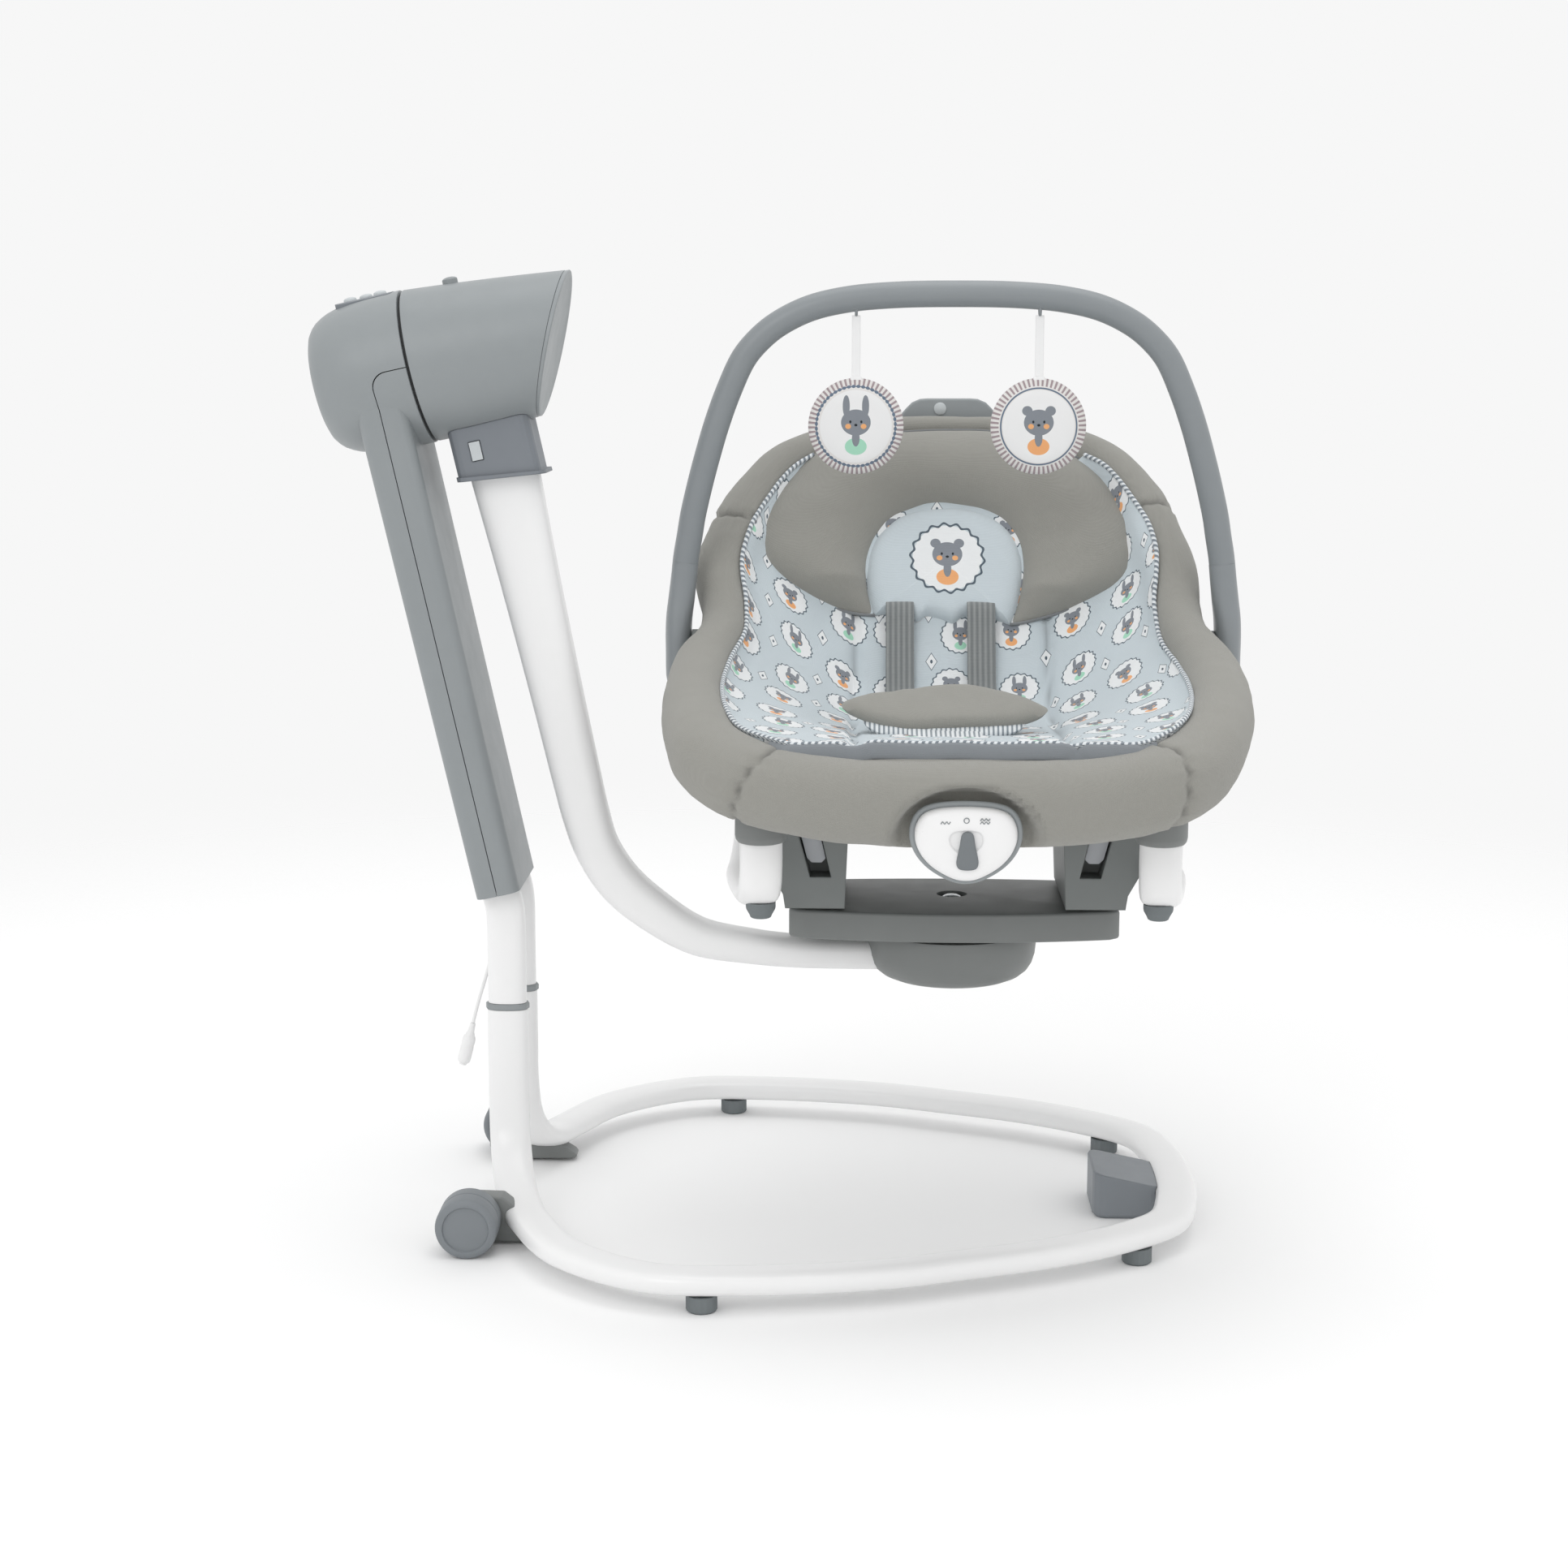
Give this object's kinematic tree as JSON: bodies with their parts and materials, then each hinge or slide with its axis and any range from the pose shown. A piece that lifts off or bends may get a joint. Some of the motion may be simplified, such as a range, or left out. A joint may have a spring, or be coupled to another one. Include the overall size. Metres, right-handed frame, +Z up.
{
  "type": "baby swing",
  "caption": "Baby swing with a looped floor frame on wheels, a leaning post with a motor head, a curved swing arm and a turning, lift-off padded seat with a carrying handle and hanging toys.",
  "frame": {"origin": "centre of the whole part's footprint, on the floor", "axes": "+Z up, the seat faces -Y, the post stands on the -X side"},
  "size_m": [0.8595, 0.6333, 0.8761],
  "materials": {
    "white_tube": "smooth white coat",
    "cool_grey": "fine satin texture",
    "dark_grey": "fine satin texture",
    "warm_grey": "fine satin texture",
    "rubber_grey": "moulded rubber",
    "pale_button": "smooth button",
    "steel": "turned steel",
    "motor_case": "painted case",
    "lead_jacket": "smooth cord jacket",
    "cover_cloth": "close woven cloth",
    "liner_cloth": "soft knitted cloth",
    "webbing": "flat woven webbing",
    "white_shell": "smooth white shell",
    "toy_cloth": "short plush and felt"
  },
  "bodies": {
    "base": {"base_tube": "white_tube", "foot_pad_front_left": "rubber_grey", "foot_pad_rear_left": "rubber_grey", "foot_pad_front_right": "rubber_grey", "foot_pad_rear_right": "rubber_grey", "wheel_bracket_front": "dark_grey", "wheel_bracket_rear": "dark_grey", "leg_ring_front": "cool_grey", "leg_ring_rear": "cool_grey", "upper_leg_front": "white_tube", "upper_leg_rear": "white_tube", "housing_left_shell": "cool_grey", "housing_right_shell": "cool_grey", "drive_unit": "motor_case", "control_panel": "dark_grey", "lead_gland": "dark_grey", "lead": "lead_jacket", "lead_connector": "white_shell", "base_block": "dark_grey"},
    "wheel_front": {"wheel_front": "cool_grey"},
    "wheel_rear": {"wheel_rear": "cool_grey"},
    "power_button": {"power_button": "pale_button"},
    "speed_button": {"speed_button": "pale_button"},
    "timer_button": {"timer_button": "pale_button"},
    "arm": {"rotor_shell": "cool_grey", "rotor_end_cap": "cool_grey", "drive_shaft": "steel", "arm_collar": "dark_grey", "arm_tube": "white_tube", "hub_bowl": "warm_grey", "turn_bolt": "steel"},
    "collar_button": {"collar_button": "pale_button"},
    "cradle": {"cradle_tray": "warm_grey"},
    "seat_base": {"latch_tower_left": "warm_grey", "latch_tower_right": "warm_grey", "runner_left": "white_tube", "runner_right": "white_tube", "runner_foot_left": "rubber_grey", "runner_foot_right": "rubber_grey", "seat_ring": "white_tube", "seat_base_plate": "warm_grey", "side_hub_left": "warm_grey", "side_hub_right": "warm_grey", "seat_cover": "cover_cloth", "seat_insert": "liner_cloth", "crotch_pad": "cover_cloth", "vibration_unit": "white_shell", "shoulder_strap_left": "webbing", "shoulder_strap_right": "webbing"},
    "latch_left": {"latch_left": "pale_button"},
    "latch_right": {"latch_right": "pale_button"},
    "vibration_knob": {"vibration_knob": "dark_grey"},
    "seat_back": {"back_ring": "white_tube", "back_cover": "cover_cloth", "back_insert": "liner_cloth", "head_pillow": "cover_cloth"},
    "recline_handle": {"recline_handle": "dark_grey"},
    "handle": {"handle_bar": "cool_grey"},
    "toy_left": {"toy_left": "toy_cloth"},
    "toy_right": {"toy_right": "toy_cloth"}
  },
  "joints": [
    {"name": "wheel_front_spin", "type": "hinge", "parent": "base", "child": "wheel_front", "pos_m": [-0.279, -0.149, 0.028], "axis": [0, 1, 0], "continuous": true},
    {"name": "wheel_rear_spin", "type": "hinge", "parent": "base", "child": "wheel_rear", "pos_m": [-0.279, 0.163, 0.028], "axis": [0, 1, 0], "continuous": true},
    {"name": "power_button_press", "type": "slide", "parent": "base", "child": "power_button", "axis": [0.2147, 0, -0.9767], "range_m": [0, 0.0012], "stiffness_N_per_m": 800, "springref_m": -0.0006},
    {"name": "speed_button_press", "type": "slide", "parent": "base", "child": "speed_button", "axis": [0.2147, 0, -0.9767], "range_m": [0, 0.0012], "stiffness_N_per_m": 800, "springref_m": -0.0006},
    {"name": "timer_button_press", "type": "slide", "parent": "base", "child": "timer_button", "axis": [0.2147, 0, -0.9767], "range_m": [0, 0.0012], "stiffness_N_per_m": 800, "springref_m": -0.0006},
    {"name": "arm_swing", "type": "hinge", "parent": "base", "child": "arm", "pos_m": [-0.331, 0.007, 0.79], "axis": [0.9767, 0, 0.2147], "range_deg": [-20, 20]},
    {"name": "collar_button_press", "type": "slide", "parent": "arm", "child": "collar_button", "axis": [0, 1, 0], "range_m": [0, 0.002], "stiffness_N_per_m": 800, "springref_m": -0.0006},
    {"name": "seat_turn", "type": "hinge", "parent": "arm", "child": "cradle", "pos_m": [0.159, 0.007, 0.27], "axis": [0, 0, 1], "range_deg": [-90, 90]},
    {"name": "seat_lift", "type": "slide", "parent": "cradle", "child": "seat_base", "axis": [0, 0, 1], "range_m": [0, 0.06]},
    {"name": "latch_left_release", "type": "slide", "parent": "seat_base", "child": "latch_left", "axis": [-0.2425, 0, 0.9701], "range_m": [0, 0.006], "stiffness_N_per_m": 400, "springref_m": -0.002},
    {"name": "latch_right_release", "type": "slide", "parent": "seat_base", "child": "latch_right", "axis": [0.2425, 0, 0.9701], "range_m": [0, 0.006], "stiffness_N_per_m": 400, "springref_m": -0.002},
    {"name": "vibration_knob_turn", "type": "hinge", "parent": "seat_base", "child": "vibration_knob", "pos_m": [0.16, -0.308, 0.4045], "axis": [0, 1, 0], "range_deg": [-40, 40]},
    {"name": "recline", "type": "hinge", "parent": "seat_base", "child": "seat_back", "pos_m": [0.159, 0.077, 0.455], "axis": [1, 0, 0], "range_deg": [-12, 0]},
    {"name": "recline_handle_squeeze", "type": "slide", "parent": "seat_back", "child": "recline_handle", "axis": [0, 0, 1], "range_m": [0, 0.008], "stiffness_N_per_m": 500, "springref_m": -0.002},
    {"name": "handle_tilt", "type": "hinge", "parent": "seat_base", "child": "handle", "pos_m": [0.159, 0.067, 0.515], "axis": [1, 0, 0], "range_deg": [-20, 50]},
    {"name": "toy_left_swing", "type": "hinge", "parent": "handle", "child": "toy_left", "pos_m": [0.067, 0.067, 0.836], "axis": [1, 0, 0], "range_deg": [-20, 20]},
    {"name": "toy_right_swing", "type": "hinge", "parent": "handle", "child": "toy_right", "pos_m": [0.237, 0.067, 0.836], "axis": [1, 0, 0], "range_deg": [-20, 20]}
  ]
}
